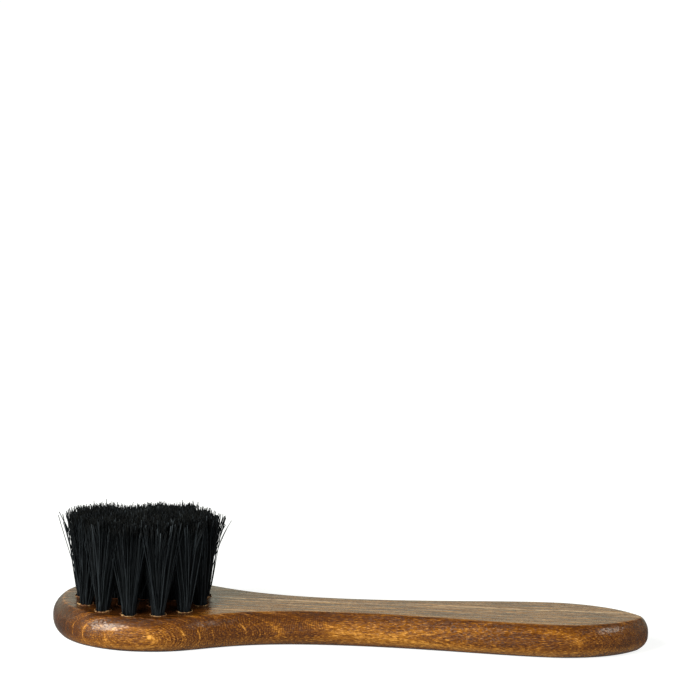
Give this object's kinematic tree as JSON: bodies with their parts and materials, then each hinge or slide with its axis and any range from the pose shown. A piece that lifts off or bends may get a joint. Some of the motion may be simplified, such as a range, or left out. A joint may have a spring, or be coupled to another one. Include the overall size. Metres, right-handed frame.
{
  "type": "shoe polish applicator brush",
  "caption": "Wooden shoe polish applicator brush: round head of upright horsehair tufts on a slim leaf-shaped handle.",
  "frame": {"origin": "on the flat back face that the brush rests on, under the middle of the ring of tufts", "axes": "+X along the handle from the head to the tip, +Z along the bristles, away from the back face"},
  "size_m": [0.175, 0.0474, 0.0368],
  "materials": {
    "stained_beech": "satin lacquer over brown stain",
    "horsehair": "natural sheen of straight black hair",
    "anchor_wire": "tinned flat wire"
  },
  "bodies": {
    "root": {"handle": "stained_beech", "tuft_01": "horsehair", "tuft_02": "horsehair", "tuft_03": "horsehair", "tuft_04": "horsehair", "tuft_05": "horsehair", "tuft_06": "horsehair", "tuft_07": "horsehair", "tuft_08": "horsehair", "tuft_09": "horsehair", "tuft_10": "horsehair", "tuft_11": "horsehair", "tuft_12": "horsehair", "tuft_13": "horsehair", "tuft_14": "horsehair", "tuft_15": "horsehair", "tuft_16": "horsehair", "tuft_17": "horsehair", "tuft_18": "horsehair", "tuft_19": "horsehair", "tuft_20": "horsehair", "anchor_01": "anchor_wire", "anchor_02": "anchor_wire", "anchor_03": "anchor_wire", "anchor_04": "anchor_wire", "anchor_05": "anchor_wire", "anchor_06": "anchor_wire", "anchor_07": "anchor_wire", "anchor_08": "anchor_wire", "anchor_09": "anchor_wire", "anchor_10": "anchor_wire", "anchor_11": "anchor_wire", "anchor_12": "anchor_wire", "anchor_13": "anchor_wire", "anchor_14": "anchor_wire", "anchor_15": "anchor_wire", "anchor_16": "anchor_wire", "anchor_17": "anchor_wire", "anchor_18": "anchor_wire", "anchor_19": "anchor_wire", "anchor_20": "anchor_wire"}
  },
  "joints": []
}
